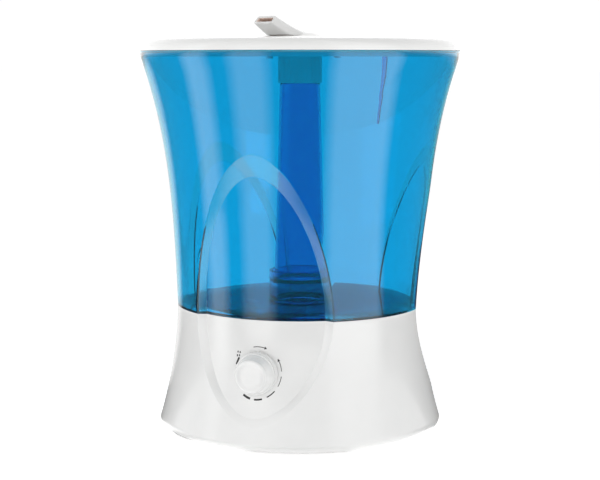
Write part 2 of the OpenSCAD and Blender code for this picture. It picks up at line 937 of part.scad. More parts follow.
module cap_gasket() {
  color("dimgray")
    at_cap()
      ring(neck_out_r, neck_r - 0.5, cap_plate_z, cap_plate_z + gasket_t);
}
module valve_plunger() {
  color("azure")
    at_cap() {
      rod(valve_r, seal_z0 + seal_t, seal_z0 + seal_t + 2);
      rod(stem_r, button_z0 + 1, seal_z0 + seal_t + eps);
      rod(button_r, button_z0, button_top_z);
    }
}
module valve_seal() {
  color("dimgray")
    at_cap()
      ring(valve_r, stem_r, seal_z0, seal_z0 + seal_t);
}
// Coil between the valve button and the cap hub: rings of points along a helix.
module valve_spring() {
  z0 = button_top_z + spring_wire / 2;
  z1 = cap_z0 - spring_wire / 2;
  sides = 8;
  rings = spring_turns * 18;
  coil_r = 4.2;
  points = [
    for (i = [0:rings], j = [0:sides - 1])
      let (a = i * 360 / 18, b = j * 360 / sides, r = coil_r + spring_wire / 2 * cos(b))
      [r * cos(a), r * sin(a), z0 + (z1 - z0) * i / rings + spring_wire / 2 * sin(b)]
  ];
  walls = [
    for (i = [0:rings - 1], j = [0:sides - 1])
      let (k = (j + 1) % sides)
      [i * sides + j, (i + 1) * sides + j, (i + 1) * sides + k, i * sides + k]
  ];
  ends = [
    [for (j = [0:sides - 1]) j],
    [for (j = [sides - 1:-1:0]) rings * sides + j],
  ];
  color("silver")
    at_cap()
      polyhedron(points, concat(walls, ends), convexity = 8);
}

// ---- Lid and nozzle ----
module lid_cover() {
  skirt_r = rim_r - tank_wall - plug_gap;
  bore_r = nozzle_r + 0.3;
  shoulder_r = lid_r - lid_round;
  color("white")
    difference() {
      union() {
        rotate_extrude()
          polygon(concat(
            [[bore_r, crown_z]],
            [for (s = [0.4, 0.7]) [shoulder_r * s, crown_z - 3 * s * s]],
            arc(shoulder_r, lid_shoulder_z - lid_round, lid_round, 90, 12, 6),
            [[lid_r, lid_z0], [lid_r - 2.6, lid_z0]],
            arc(shoulder_r, lid_shoulder_z - lid_round, lid_round - lid_wall, 12, 90, 4),
            [for (s = [0.7, 0.4]) [shoulder_r * s, crown_z - lid_wall - 3 * s * s]],
            [[bore_r, crown_z - lid_wall]]));
        rotate_extrude()
          polygon([
            [skirt_r, drum_z0], [skirt_r - 2, drum_z0],
            [skirt_r - 4, lid_shoulder_z - lid_wall + 0.5],
            [skirt_r, lid_shoulder_z - lid_wall - 0.5],
          ]);
        ring(nozzle_r + 4, bore_r, drum_z0, crown_z - lid_wall + eps);
        around(collar_lug_dist, [0, 120, 240])
          rod(3.8, collar_top_z, crown_z - lid_wall);
      }
      rod(nozzle_r + 2, drum_z0 - 1, drum_z0 + 3.4);
      rod(bore_r, drum_z0, crown_z + 1);
      around(collar_lug_dist, [0, 120, 240])
        rod(screw_r, collar_top_z - 1, collar_top_z + 9);
    }
}
module nozzle_collar() {
  color("white")
    difference() {
      union() {
        rod(nozzle_r + 3.3, collar_under_z, collar_top_z);
        rod(collar_r, collar_z0, collar_top_z);
        around(collar_lug_dist, [0, 120, 240])
          rod(4, collar_under_z, collar_top_z);
      }
      rod(tube_top_r + loose_gap, collar_z0 - 1, collar_top_z + 1);
      around(collar_lug_dist, [0, 120, 240])
        rod(screw_r, collar_under_z - 1, collar_top_z + 1);
    }
}
module collar_screws() {
  color("silver")
    around(collar_lug_dist, [0, 120, 240])
      screw(collar_under_z, collar_flange_t + 8);
}
// Flat spout to the mouth from a root of length x0 to x1 and height z0 to z1,
// thinner by g on the sides and the mouth.
module spout(g, x0, x1, z0, z1) {
  hull() {
    translate([spout_reach + 2 * g, 0, crown_z + spout_rise + 2 * g])
      rotate([0, -mouth_tilt, 0])
        cube([0.5, mouth_w - 2 * g, mouth_h - 2 * g], center = true);
    translate([x0, g - root_w / 2, z0])
      cube([x1 - x0, root_w - 2 * g, z1 - z0]);
  }
}
module nozzle_hood() {
  base_z = crown_z - 2;
  h = dome_h + 2;
  color("white")
    rotate(spout_deg)
      difference() {
        union() {
          rod(nozzle_r, drum_z0 + seat_gap, base_z);
          rod(nozzle_r + 1.6, drum_z0 + seat_gap, drum_z0 + 3);
          rotate_extrude()
            polygon(concat(
              [[0, base_z - eps]],
              [for (s = steps(1, 0, 8)) [nozzle_r * s, base_z + h * (1 - s * s)]]));
          spout(0, root_x0, root_x1, root_z0, root_z1);
        }
        rod(nozzle_r - nozzle_wall, drum_z0 - 1, base_z - 1);
        intersection() {
          rotate_extrude()
            polygon(concat(
              [[0, base_z - 2]],
              [[nozzle_r - nozzle_wall, base_z - 2]],
              [for (s = steps(1, 0, 8))
                [(nozzle_r - nozzle_wall) * s, base_z - 1 + (h - 1) * (1 - s * s)]]));
          rod(nozzle_r, 0, crown_z + 50);
        }
        spout(nozzle_wall, root_x0 + nozzle_wall, throat_x1, throat_z0, root_z1 - nozzle_wall);
      }
}

base_housing();
bottom_cover();
rubber_feet();
cover_screws();
cord_gland();
power_board();
power_parts();
control_board();
control_parts();
heat_sink();
board_screws();
nebuliser_disc();
nebuliser_seal();
nebuliser_clamp();
clamp_screws();
fan_frame();
fan_rotor();
fan_screws();
air_duct();
float_ring();
float_magnet();
float_retainer();
reed_switch();
dial_knob();
control_shaft();
dial_control();
control_nut();
tank_shell();
tank_neck();
mist_tube();
tube_seal();
tank_cap();
cap_gasket();
valve_plunger();
valve_seal();
valve_spring();
lid_cover();
nozzle_collar();
collar_screws();
nozzle_hood();
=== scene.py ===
import math

import bmesh
import bpy
from mathutils import Matrix, Vector


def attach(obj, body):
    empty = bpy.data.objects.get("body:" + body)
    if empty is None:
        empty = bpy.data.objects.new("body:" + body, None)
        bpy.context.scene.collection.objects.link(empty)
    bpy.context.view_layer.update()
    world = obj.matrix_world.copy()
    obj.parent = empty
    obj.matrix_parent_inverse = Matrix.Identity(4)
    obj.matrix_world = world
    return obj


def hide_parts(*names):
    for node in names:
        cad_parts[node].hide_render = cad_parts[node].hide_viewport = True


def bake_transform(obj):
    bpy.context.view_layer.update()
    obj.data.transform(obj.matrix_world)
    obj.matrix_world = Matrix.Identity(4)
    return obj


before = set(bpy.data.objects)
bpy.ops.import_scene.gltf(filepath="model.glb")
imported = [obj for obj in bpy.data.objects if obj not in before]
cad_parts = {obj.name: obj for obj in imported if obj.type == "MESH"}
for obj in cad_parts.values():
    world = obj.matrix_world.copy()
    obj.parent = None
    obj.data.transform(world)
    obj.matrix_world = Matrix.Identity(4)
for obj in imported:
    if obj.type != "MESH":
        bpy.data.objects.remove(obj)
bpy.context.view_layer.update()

# ---- Studio ----
# A plain pale floor under even white light, with one large soft lamp on each
# side, and a camera a little above the object that looks at its dial side.
MM = 0.001
scene = bpy.context.scene
scene.view_settings.view_transform = "Standard"


def linear(code):
    """Gives the linear colour of an sRGB hex code."""
    parts = [int(code[i:i + 2], 16) / 255 for i in (1, 3, 5)]
    parts = [p / 12.92 if p <= 0.04045 else ((p + 0.055) / 1.055) ** 2.4 for p in parts]
    return (*parts, 1.0)


def add(tree, kind, sets=None, links=None):
    """Adds a node, sets its inputs or attributes and links its inputs."""
    made = tree.nodes.new("ShaderNode" + kind)
    for key, value in (sets or {}).items():
        if isinstance(key, int) or key in made.inputs:
            made.inputs[key].default_value = value
        else:
            setattr(made, key, value)
    for key, source in (links or {}).items():
        out = source if isinstance(source, bpy.types.NodeSocket) else source.outputs[0]
        tree.links.new(out, made.inputs[key])
    return made


def blank(name):
    """Gives a new material and its node tree, which is empty."""
    mat = bpy.data.materials.new(name)
    mat.use_nodes = True
    mat.node_tree.nodes.clear()
    return mat, mat.node_tree


def link(name, data):
    """Puts a new object with this data in the scene."""
    made = bpy.data.objects.new(name, data)
    scene.collection.objects.link(made)
    return made


# The backdrop and the floor are white where they are seen, directly or through
# the clear tank, and dimmer as sources of light. Reflections see a dark room
# with tall bright panels, as the angle round the object says, and a white wall
# far behind them. A panel is the angle of its middle, half its width in
# degrees, and its brightness.
FAR_WALL, DARK_ROOM, PANEL_FADE = 1.7, 0.12, 5
BRIGHT_PANELS = ((-140, 22, 0.9), (-59, 10, 2.4), (-17, 13, 1.9), (67, 25, 2.4))
FLOOR_SIZE = 60
CAMERA_LENS, CAMERA_AWAY, CAMERA_UP = 87.6, 1.290, 0.321
CAMERA_TURN, CAMERA_DOWN = 19.2, 6.95


def room_level(tree, place, plain, seen, far):
    """Brightness of the room towards a place: seen for the eye, plain for
    lighting, and the tall panels and the far white wall for reflections."""
    path = add(tree, "LightPath")
    parts = add(tree, "SeparateXYZ", links={0: place})
    back = add(tree, "Math", {"operation": "MULTIPLY", 1: -1.0}, {0: parts.outputs["Y"]})
    angle = add(tree, "Math", {"operation": "ARCTAN2"}, {0: parts.outputs["X"], 1: back})
    panels = None
    for middle, half, bright in BRIGHT_PANELS:
        off = add(tree, "Math", {"operation": "SUBTRACT", 1: math.radians(middle)}, {0: angle})
        off = add(tree, "Math", {"operation": "ABSOLUTE"}, {0: off})
        panel = add(tree, "MapRange", {"From Min": math.radians(half + PANEL_FADE),
                                       "From Max": math.radians(half - PANEL_FADE),
                                       "To Min": 0.0, "To Max": bright}, {"Value": off})
        panels = panel if panels is None else add(tree, "Math", {"operation": "MAXIMUM"},
                                                  {0: panels, 1: panel})
    panels = add(tree, "Math", {"operation": "ADD", 1: DARK_ROOM}, {0: panels})
    panels = add(tree, "Math", {"operation": "MAXIMUM"}, {0: panels, 1: far})
    eye = add(tree, "Math", {"operation": "MAXIMUM"},
              {0: path.outputs["Is Camera Ray"], 1: path.outputs["Is Transmission Ray"]})
    level = add(tree, "MapRange", {"To Min": plain, "To Max": seen}, {"Value": eye})
    mirror = add(tree, "Math", {"operation": "SUBTRACT", "use_clamp": True},
                 {0: path.outputs["Is Glossy Ray"], 1: path.outputs["Is Transmission Ray"]})
    mix = add(tree, "Mix", {"data_type": "FLOAT"}, {0: mirror, 2: level, 3: panels})
    return mix.outputs[0], mirror


world = bpy.data.worlds.new("white room")
world.use_nodes = True
room = world.node_tree
room.nodes.clear()
place = add(room, "TexCoord")
wall = add(room, "Value")
wall.outputs[0].default_value = FAR_WALL
sky = add(room, "Background", {"Color": linear("#FFFFFF")},
          {"Strength": room_level(room, place.outputs["Generated"], 0.45, 1.02, wall)[0]})
add(room, "OutputWorld", links={"Surface": sky})
scene.world = world

floor_paint, tree = blank("pale floor")
place = add(tree, "TexCoord")
reach = add(tree, "VectorMath", {"operation": "LENGTH"}, {0: place.outputs["Object"]})
wall = add(tree, "MapRange", {"From Min": 2, "From Max": 8, "To Min": DARK_ROOM,
                              "To Max": FAR_WALL}, {"Value": reach.outputs["Value"]})
strength, mirror = room_level(tree, place.outputs["Object"], 0.5, 0.6, wall)
glow = add(tree, "Emission", {"Color": linear("#FFFFFF")}, {"Strength": strength})
matt = add(tree, "BsdfDiffuse", {"Color": linear("#F4F4F4")})
lit = add(tree, "AddShader", links={0: glow, 1: matt})
paint = add(tree, "MixShader", links={0: mirror, 1: lit, 2: glow})
add(tree, "OutputMaterial", links={"Surface": paint})
bm = bmesh.new()
bmesh.ops.create_grid(bm, x_segments=1, y_segments=1, size=FLOOR_SIZE)
floor_mesh = bpy.data.meshes.new("floor")
bm.to_mesh(floor_mesh)
bm.free()
floor_mesh.materials.append(floor_paint)
link("floor", floor_mesh)

for name, place, aim, size, power in (
    ("left softbox", (-1.45, -0.75, 0.75), (0, 0, 0.2), 1.3, 5.5),
    ("right softbox", (1.35, -0.8, 0.7), (0, 0, 0.2), 0.7, 4),
    ("front softbox", (-0.3, -2.4, 1.5), (0, 0, 0.15), 0.9, 6),
):
    lamp = bpy.data.lights.new(name, "AREA")
    lamp.shape = "SQUARE"
    lamp.size = size
    lamp.energy = power
    holder = link(name, lamp)
    holder.location = place
    holder.visible_glossy = False
    holder.rotation_euler = (Vector(aim) - Vector(place)).to_track_quat("-Z", "Y").to_euler()

camera = link("camera", bpy.data.cameras.new("camera"))
camera.data.lens = CAMERA_LENS
camera.data.sensor_width = 36
turn = math.radians(CAMERA_TURN)
camera.location = (CAMERA_AWAY * math.sin(turn), -CAMERA_AWAY * math.cos(turn), CAMERA_UP)
camera.rotation_euler = (math.radians(90 - CAMERA_DOWN), 0, turn)
scene.camera = camera

# ---- Base housing ----
# A white ABS moulding with three oval panels sunk into its side. Its inside
# is the basin under the tank, with the well over the nebuliser, the air
# tower, the float post and the post that opens the tank valve.
SEAM, FOOT_TOP, FOOT_ROUND = 108.5, 7, 5.5
WAIST_R, FOOT_R, RIM_R = 109, 125, 139.8
TANK_Z0, FLARE_TOP, TANK_TOP = 108.8, 325.2, 331.2
BASE_WALL, TANK_WALL = 2.6, 2.4
PANEL_DEPTH, PANEL_EDGE, TANK_EDGE = 6, 0.9, 2.2
PANEL_UP, PANEL_DOWN = 138, 86.5
OUTER_W, INNER_W = 60.8, 56.2
INNER_UP, INNER_DOWN = 120.1, 80.3
SUPER = 1.85        # how square the panel outlines are: 2 is an ellipse


def body_r(z):
    """Radius of the body at height z, in mm: base below the joint, tank above."""
    if z <= SEAM:
        u = min(1, (SEAM - z) / (SEAM - FOOT_TOP))
        return WAIST_R + (FOOT_R - WAIST_R) * (0.15 * u + 0.85 * u ** 2.05)
    t = min(1, (z - SEAM) / (FLARE_TOP - SEAM))
    return WAIST_R + (RIM_R - WAIST_R) * (0.27 * t + 0.73 * t ** 3.15)


def oval(x, z, half_w, up, down):
    """How far out a point lies on the way to an oval outline: 1 is on it."""
    reach = up if z > SEAM else down
    return (abs(x / half_w) ** SUPER + abs((z - SEAM) / reach) ** SUPER) ** (1 / SUPER)


def sink(angle, z):
    """Depth of the panel surface below the body at an angle from its middle."""
    x = body_r(z) * math.sin(angle)
    if abs(angle) > 1:
        return 0
    outer = oval(x, z, OUTER_W, PANEL_UP, PANEL_DOWN)
    inner = oval(x, z, INNER_W, INNER_UP, INNER_DOWN)
    if outer >= 1:
        return 0
    v = min(1, (z - SEAM) / PANEL_UP if z > SEAM else (SEAM - z) / PANEL_DOWN)
    depth = max(TANK_EDGE if z > SEAM else PANEL_EDGE,
                PANEL_DEPTH * (1 - v ** (1.25 if z > SEAM else 2.8)))
    if inner <= 1:
        return depth
    return depth * (1 - outer) / ((1 - outer) + (inner - 1))


def on_skin(angle, z, out=0):
    """Point on the body at an angle from the front panel's middle, in metres."""
    r = body_r(z) - sink(angle, z) + out
    return Vector((r * math.sin(angle) * MM, -r * math.cos(angle) * MM, z * MM))


def skin(bm, way, z0, z1):
    """Adds a third of the body wall from z0 to z1: rings of faces that grow
    from the foot of the panel through its rounded edge to the sector's sides."""
    inside = [(0, i / 10) for i in range(11)]
    edge = [(1, t) for t in (0.06, 0.2, 0.5, 0.8, 0.94, 1)]
    outside = [(2, t) for t in (0.02, 0.08, 0.17, 0.28, 0.4, 0.52, 0.64, 0.76, 0.88, 1)]
    rows = inside + edge + outside
    grid = bmesh.ops.create_grid(bm, x_segments=96, y_segments=len(rows) - 1, size=0.5)
    height = abs(z1 - z0)
    shift = abs(z0 - SEAM)
    for v in grid["verts"]:
        a = math.pi * min(1, max(0, v.co.x + 0.5))
        part, t = rows[round((v.co.y + 0.5) * (len(rows) - 1))]
        across = math.copysign(abs(math.cos(a)) ** (2 / SUPER), math.cos(a))
        along = math.sin(a) ** (2 / SUPER) if 0 < a < math.pi else 0
        inner = Vector((INNER_W * across, (INNER_UP if way > 0 else INNER_DOWN) * along))
        outer = Vector((OUTER_W * across, (PANEL_UP if way > 0 else PANEL_DOWN) * along))
        flat = inner * t if part == 0 else inner.lerp(outer, t if part == 1 else 1)
        rise = max(flat.y, shift)
        z = SEAM + way * rise
        angle = math.asin(flat.x / body_r(z))
        if part == 2:
            share = math.degrees(a) / 45
            side = math.radians(60)
            if share < 1:
                far = (side, share)
            elif share <= 3:
                far = (side * (2 - share), 1)
            else:
                far = (-side, 4 - share)
            angle += (far[0] - angle) * t
            z += (z0 + way * far[1] * height - z) * t
        v.co = on_skin(angle, z)
        v.index = rows.index((part, t))
    first, last = len(inside) - 1, len(inside + edge) - 1
    for e in {e for v in grid["verts"] for e in v.link_edges}:
        e.seam = e.verts[0].index == e.verts[1].index in (first, last)
    for f in {f for v in grid["verts"] for f in v.link_faces}:
        # On the tank the faces of the border band take the third slot, the border with a painted
        # highlight.
        if way > 0 and all(first <= v.index <= last for v in f.verts):
            f.material_index = 2
    return grid["verts"]


def sectors(bm, verts):
    """Copies a third of the wall round the axis and joins the thirds."""
    faces = list({f for v in verts for f in v.link_faces})
    for i in (1, 2):
        made = bmesh.ops.duplicate(bm, geom=faces)["geom"]
        bmesh.ops.rotate(bm, verts=[g for g in made if isinstance(g, bmesh.types.BMVert)],
                         cent=(0, 0, 0), matrix=Matrix.Rotation(i * 2 * math.pi / 3, 3, "Z"))
    bmesh.ops.remove_doubles(bm, verts=bm.verts, dist=2e-6)


def rim(bm, z):
    """The open edges of a wall at height z."""
    return [e for e in bm.edges if e.is_boundary
            and all(abs(v.co.z - z * MM) < 2e-5 for v in e.verts)]


def carry(bm, loop, r, z):
    """Extrudes a loop of edges to a circle of radius r at height z."""
    made = bmesh.ops.extrude_edge_only(bm, edges=loop)["geom"]
    verts = {g for g in made if isinstance(g, bmesh.types.BMVert)}
    for v in verts:
        around = Vector((v.co.x, v.co.y, 0)).normalized()
        v.co = around * r * MM + Vector((0, 0, z * MM))
    return [e for e in made if isinstance(e, bmesh.types.BMEdge) and set(e.verts) <= verts]


def turned(bm, outline, at=(0, 0), steps=96, closed=True, matrix=None):
    """Adds a turned form from an outline of (radius, height) in mm. An outline
    that isn't closed starts and ends on the axis, or is one open surface."""
    before = set(bm.verts)
    verts = [bm.verts.new((r * MM, 0, z * MM)) for r, z in outline]
    ends = verts[1:] + verts[:1] if closed else verts[1:]
    edges = [bm.edges.new(pair) for pair in zip(verts, ends)]
    bmesh.ops.spin(bm, geom=verts + edges, cent=(0, 0, 0), axis=(0, 0, 1),
                   angle=2 * math.pi, steps=steps, use_merge=True)
    made = [v for v in bm.verts if v not in before]
    bmesh.ops.remove_doubles(bm, verts=made, dist=1e-7)
    made = [v for v in bm.verts if v not in before]
    faces = list({f for v in made for f in v.link_faces})
    bmesh.ops.recalc_face_normals(bm, faces=faces)
    place = Matrix.Translation((at[0] * MM, at[1] * MM, 0))
    bmesh.ops.transform(bm, matrix=place @ (matrix or Matrix.Identity(4)), verts=made)
    return made


def piece(name, bm, finish, body, stands_for=(), crease=32):
    """Makes a bmesh a piece on a body, with its sharper edges kept sharp."""
    for f in bm.faces:
        f.smooth = True
    for e in bm.edges:
        e.smooth = not e.seam and (len(e.link_faces) != 2
                                   or e.calc_face_angle(0) < math.radians(crease))
    mesh = bpy.data.meshes.new(name)
    bm.to_mesh(mesh)
    bm.free()
    mesh.materials.append(finish)
    made = link(name, mesh)
    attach(made, body)
    if stands_for:
        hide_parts(*stands_for)
    return made


def wall(made, thickness, bevel=0.0):
    """Gives a skin its wall thickness inwards, and rounds its sharp edges."""
    solid = made.modifiers.new("wall", "SOLIDIFY")
    solid.thickness = thickness * MM
    solid.offset = -1
    solid.use_even_offset = False
    if bevel:
        soft = made.modifiers.new("edge", "BEVEL")
        soft.width = bevel * MM
        soft.segments = 2
        soft.limit_method = "ANGLE"
        soft.angle_limit = math.radians(50)


def moulded(name, light, dark, grain, rough, bump, metallic=0.0, coat=0.0, stretch=(1, 1, 1)):
    """A surface whose colour and gloss vary a little over a grain in mm."""
    mat, tree = blank(name)
    place = add(tree, "TexCoord")
    sized = add(tree, "Mapping", {"Scale": stretch}, {"Vector": place.outputs["Object"]})
    cloud = add(tree, "TexNoise", {"Scale": 1 / (grain * MM), "Detail": 3.0, "Roughness": 0.55},
                {"Vector": sized})
    tint = add(tree, "ValToRGB", links={"Fac": cloud.outputs["Fac"]})
    tint.color_ramp.elements[0].position = 0.3
    tint.color_ramp.elements[0].color = linear(dark)
    tint.color_ramp.elements[1].position = 0.7
    tint.color_ramp.elements[1].color = linear(light)
    gloss = add(tree, "MapRange", {"To Min": rough * 0.85, "To Max": rough * 1.15},
                {"Value": cloud.outputs["Fac"]})
    relief = add(tree, "Bump", {"Strength": 0.35, "Distance": bump * MM},
                 {"Height": cloud.outputs["Fac"]})
    shader = add(tree, "BsdfPrincipled", {"Metallic": metallic, "Coat Weight": coat,
                                          "Coat Roughness": 0.06},
                 {"Base Color": tint, "Roughness": gloss, "Normal": relief})
    if not metallic:
        shader.inputs["IOR"].default_value = 1.52
    add(tree, "OutputMaterial", links={"Surface": shader})
    return mat


# Glossy ABS: a polished mould gives it even highlights, with the faintest
# sink and flow marks.
white_abs = moulded("glossy white ABS", "#EFEFEE", "#ECECEB", 34, 0.24, 0.05, coat=0.35)
satin_abs = moulded("satin white ABS", "#E8E8E5", "#E4E4E1", 3, 0.42, 0.02)

bm = bmesh.new()
sectors(bm, skin(bm, -1, SEAM, FOOT_TOP))
loop = rim(bm, FOOT_TOP)
for step in range(1, 7):
    a = math.radians(-15 * step)
    loop = carry(bm, loop, FOOT_R - FOOT_ROUND + FOOT_ROUND * math.cos(a),
                 FOOT_TOP + FOOT_ROUND * math.sin(a))
bmesh.ops.recalc_face_normals(bm, faces=bm.faces)
base_skin = piece("base_housing_wall", bm, white_abs, "base", ["base_housing"])
wall(base_skin, BASE_WALL, 0.5)

# The moulded floor, well, tower and posts keep the frame's own shape: they are
# a copy of it without the faces of the wall.
bm = bmesh.new()
bm.from_mesh(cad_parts["base_housing"].data)
bmesh.ops.remove_doubles(bm, verts=bm.verts, dist=1e-6)


def in_wall(face):
    """Whether a face belongs to the wall, which base_housing_wall stands for."""
    mid = face.calc_center_median() / MM
    angle = math.atan2(mid.x, -mid.y)
    angle = (angle + math.pi / 3) % (2 * math.pi / 3) - math.pi / 3
    flat = math.hypot(mid.x, mid.y)
    gap = body_r(min(SEAM, max(FOOT_TOP, mid.z))) - flat
    return gap < BASE_WALL + PANEL_DEPTH + 1.2 and abs(face.normal.z) < 0.999 or gap < 1 or (
        mid.z > SEAM - 0.2 or mid.z < 9 and flat > 112)


bmesh.ops.delete(bm, geom=[f for f in bm.faces if in_wall(f)], context="FACES")
piece("basin_and_well", bm, satin_abs, "base")


# ---- Dial ----
# A white ABS knob, turned in one piece with a slightly dished face, pushed on
# the shaft of the mist control. The marks round it are pad-printed.
DIAL_Z, DIAL_R, DIAL_FACE_R, DIAL_LEN = 65, 17.5, 12.2, 12.4
SEAT_Y = body_r(DIAL_Z - DIAL_R) - sink(0, DIAL_Z - DIAL_R) + 0.5
BACK_Y = SEAT_Y + 0.3
FACE_Y = BACK_Y + DIAL_LEN
front = Matrix.Translation((0, 0, DIAL_Z * MM)) @ Matrix.Rotation(math.pi / 2, 4, "X")


def fillet(cx, cz, r, a0, a1, n):
    """Points on an arc, for a turned outline."""
    return [(cx + r * math.cos(math.radians(a0 + (a1 - a0) * i / n)),
             cz + r * math.sin(math.radians(a0 + (a1 - a0) * i / n))) for i in range(n + 1)]


bm = bmesh.new()
side = [(DIAL_R - 1.2 - 2.3 * s ** 1.6, BACK_Y + 2.6 + (DIAL_LEN - 5.4) * s)
        for s in [i / 12 for i in range(13)]]
turned(bm, [(0, BACK_Y + 0.4), (11, BACK_Y + 0.4), (11, BACK_Y)]
       + [(DIAL_R - 0.3, BACK_Y)] + fillet(DIAL_R - 0.5, BACK_Y + 1.3, 0.5, -20, 80, 4)
       + [(DIAL_R - 1.0, BACK_Y + 2.1)] + side
       + fillet(DIAL_FACE_R - 0.1, FACE_Y - 1.9, 1.9, 8, 90, 8)
       + [(DIAL_FACE_R - 1.2, FACE_Y - 0.25), (DIAL_FACE_R - 2.0, FACE_Y - 0.65),
          (DIAL_FACE_R * 0.6, FACE_Y - 0.8), (0, FACE_Y - 0.85)],
       closed=False, steps=96, matrix=front)
piece("mist_knob", bm, white_abs, "dial", ["dial_knob"])

bm = bmesh.new()
turned(bm, [(9.6, SEAT_Y - 5), (DIAL_R + 0.4, SEAT_Y - 5)]
       + fillet(DIAL_R, SEAT_Y - 0.4, 0.4, 0, 90, 3) + [(9.6, SEAT_Y)],
       steps=96, matrix=front)
piece("dial_seat", bm, white_abs, "base")

# Pad-printed ink: near black, flat, a little matter than the plastic.
ink = moulded("black pad-printing ink", "#1B1C1E", "#101113", 2, 0.5, 0.004)


def stroke(bm, points, widths):
    """Adds a flat printed stroke through (clock angle, radius) points, laid on
    the panel, with a width at each point."""
    grid = bmesh.ops.create_grid(bm, x_segments=len(points) - 1, y_segments=1, size=0.5)
    for v in grid["verts"]:
        i = round((v.co.x + 0.5) * (len(points) - 1))
        clock, r = points[i]
        r += widths[i] * (0.5 if v.co.y > 0 else -0.5)
        x = r * math.sin(math.radians(clock))
        z = DIAL_Z + r * math.cos(math.radians(clock))
        v.co = on_skin(math.asin(x / body_r(z)), z, 0.02)


def arc_points(a0, a1, r, n=14):
    """Evenly spaced (clock angle, radius) points from one angle to another."""
    return [(a0 + (a1 - a0) * i / n, r) for i in range(n + 1)]


# Two arrows, four dashes that grow, a bar, and four drops.
PRINT_R, DROP_HALF = 21.5, 0.75
DROP = ((-1.0, 0.1), (-0.6, 0.8), (0.0, 1.5), (0.6, 1.3), (1.1, 0.6), (1.3, 0.1))
bm = bmesh.new()
for a0, a1, tip in ((-13, 15, 21), (84, 61, 55)):
    stroke(bm, arc_points(a0, a1, PRINT_R), [0.55] * 15)
    stroke(bm, [(a1, PRINT_R), ((a1 + tip) / 2, PRINT_R), (tip, PRINT_R)], [2.4, 1.2, 0.08])
for a0, a1, thick in ((95, 118, 0.6), (130, 152, 0.9), (164, 183, 1.3), (193, 212, 1.7)):
    stroke(bm, arc_points(a0, a1, PRINT_R), [thick] * 15)
stroke(bm, arc_points(285, 302, PRINT_R), [1.5 + 0.2 * i / 14 for i in range(15)])
for clock, r in ((303, 24.2), (309, 25.6), (306, 22.6), (312, 23.8)):
    grid = bmesh.ops.create_grid(bm, x_segments=len(DROP) - 1, y_segments=1, size=0.5)
    for v in grid["verts"]:
        up, wide = DROP[round((v.co.x + 0.5) * (len(DROP) - 1))]
        x = r * math.sin(math.radians(clock)) + wide * DROP_HALF * (0.5 if v.co.y > 0 else -0.5)
        z = DIAL_Z + r * math.cos(math.radians(clock)) - up * DROP_HALF * 1.2
        v.co = on_skin(math.asin(x / body_r(z)), z, 0.02)
for f in bm.faces:
    f.normal_update()
    mid = f.calc_center_median()
    if f.normal.dot(Vector((mid.x, mid.y, 0))) < 0:
        f.normal_flip()
marks = piece("printed_marks", bm, ink, "base")
film = marks.modifiers.new("film", "SOLIDIFY")
film.thickness = 0.12 * MM
film.offset = 1

# ---- Water tank ----
# A clear blue SAN moulding, flared, with the same three panels, a socket for
# the mist tube, a collar that sits in the base and a threaded filling neck.


def clear(name, code, rough, wave, through=1.0, ior=1.5):
    """A clear tinted plastic with the slow waves that a mould leaves."""
    mat, tree = blank(name)
    place = add(tree, "TexCoord")
    cloud = add(tree, "TexNoise", {"Scale": 1 / (wave * MM), "Detail": 1.0},
                {"Vector": place.outputs["Object"]})
    tint = add(tree, "ValToRGB", links={"Fac": cloud.outputs["Fac"]})
    deep = tuple(c * 0.96 for c in linear(code)[:3]) + (1,)
    tint.color_ramp.elements[0].color = deep
    tint.color_ramp.elements[1].color = linear(code)
    relief = add(tree, "Bump", {"Strength": 0.12, "Distance": 0.2 * MM},
                 {"Height": cloud.outputs["Fac"]})
    shader = add(tree, "BsdfPrincipled", {"Roughness": rough, "IOR": ior,
                                          "Transmission Weight": through},
                 {"Base Color": tint, "Normal": relief})
    add(tree, "OutputMaterial", links={"Surface": shader})
    return mat


blue_san = clear("clear blue SAN", "#12C8EC", 0.02, 60)
deep_san = clear("clear deep blue SAN", "#1FBDEA", 0.03, 40)
# The tank floor is the same clear blue plastic as the walls, painted a dark blue here: painted
# shade for the dark basin under it.
shaded_floor_san = clear("clear blue SAN floor with painted shade", "#0750A8", 0.05, 25, ior=1.12)
# The sloped border of each panel is a little rougher, with a painted highlight: a milkier blue.
border_highlight_san = clear("satin blue SAN border with painted highlight", "#86D2EE", 0.08, 40, 0.9)

SPIGOT_R, MIST_HOLE_R, RIM_STEP_Z = 99.5, 20.8, 330.3
TUBE_FOOT_R, TUBE_TOP_R, TUBE_WALL = 22.6, 17.1, 2
TUBE_SEAT, BOSS_TOP, TUBE_SHOULDER, TUBE_TOP = 127, 137.8, 302, 318
BOSS_R, BOSS_BORE = 27.3, 24.7
CAP = (-15.72, -63.07)

bm = bmesh.new()
sectors(bm, skin(bm, 1, TANK_Z0, FLARE_TOP))
loop = rim(bm, FLARE_TOP)
for r, z in ((RIM_R, RIM_STEP_Z), (RIM_R - 1, RIM_STEP_Z + 0.2), (RIM_R - 1, TANK_TOP)):
    loop = carry(bm, loop, r, z)
loop = rim(bm, TANK_Z0)
for r in (SPIGOT_R, 75, 50, BOSS_R, MIST_HOLE_R):
    loop = carry(bm, loop, r, TANK_Z0)
# The floor faces take the second slot, the floor with painted shade.
for f in bm.faces:
    if max(v.co.z for v in f.verts) < (TANK_Z0 + 0.1) * MM:
        f.material_index = 1
bmesh.ops.recalc_face_normals(bm, faces=bm.faces)
tank = piece("water_tank", bm, blue_san, "tank", ["tank_shell"])
tank.data.materials.append(shaded_floor_san)
tank.data.materials.append(border_highlight_san)
wall(tank, TANK_WALL)

